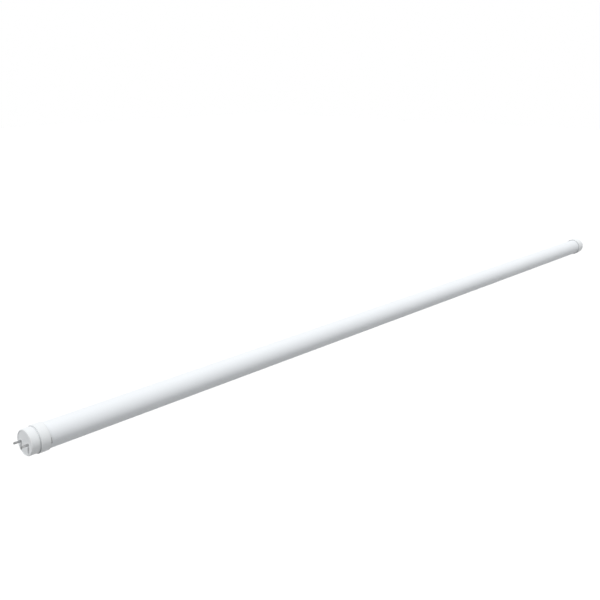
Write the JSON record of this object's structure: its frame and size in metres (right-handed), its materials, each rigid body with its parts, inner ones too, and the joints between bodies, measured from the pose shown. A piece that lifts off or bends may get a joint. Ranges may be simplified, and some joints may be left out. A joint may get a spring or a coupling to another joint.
{
  "type": "led tube",
  "caption": "Straight white LED lamp tube, with a two-pin base on each end and its driver inside one end.",
  "frame": {"origin": "middle of the tube's length, on its axis", "axes": "+X along the tube from the driver's end to the linked end, +Z towards the light side, the pins of each base in the XY plane"},
  "size_m": [1.213, 0.0282, 0.0282],
  "materials": {
    "opal_glass": "smooth opal white",
    "cap_plastic": "satin moulded white",
    "cap_adhesive": "cured silicone",
    "pin_metal": "nickel-plated brass",
    "strip_brass": "stamped brass",
    "led_board": "white solder mask on aluminium",
    "board_adhesive": "cured silicone",
    "led_phosphor": "yellow phosphor in a white package",
    "sleeve_film": "heat-shrunk insulating film",
    "driver_board": "bare laminate",
    "tinned_pin": "tin-plated",
    "fuse_body": "ceramic with plated ends",
    "film_block": "dipped red block",
    "ferrite": "sintered ferrite",
    "copper_winding": "enamelled copper wire",
    "winding_tape": "yellow polyester tape",
    "bobbin_plastic": "moulded black",
    "can_sleeve": "black shrink sleeve on an aluminium can",
    "package_epoxy": "moulded epoxy",
    "resistor_glaze": "black glaze on ceramic"
  },
  "bodies": {
    "root": {"bridge_rectifier": "package_epoxy", "bulk_capacitor": "can_sleeve", "cap_adhesive": "cap_adhesive", "chip_resistors": "resistor_glaze", "diffuser_tube": "opal_glass", "driver_board": "driver_board", "driver_chip": "package_epoxy", "driver_sleeve": "sleeve_film", "far_end_cap": "cap_plastic", "far_front_pin": "pin_metal", "far_pin_link": "strip_brass", "far_rear_pin": "pin_metal", "film_capacitor": "film_block", "filter_choke_core": "ferrite", "filter_choke_winding": "copper_winding", "freewheel_diode": "package_epoxy", "inductor_bobbin": "bobbin_plastic", "inductor_cores": "ferrite", "inductor_pins": "tinned_pin", "inductor_winding": "winding_tape", "input_fuse": "fuse_body", "led_board": "led_board", "led_board_adhesive": "board_adhesive", "led_packages": "led_phosphor", "live_terminal_tag": "strip_brass", "near_end_cap": "cap_plastic", "near_front_pin": "pin_metal", "near_rear_pin": "pin_metal", "neutral_terminal_tag": "strip_brass", "output_capacitor": "can_sleeve", "output_header_pins": "tinned_pin"}
  },
  "joints": []
}
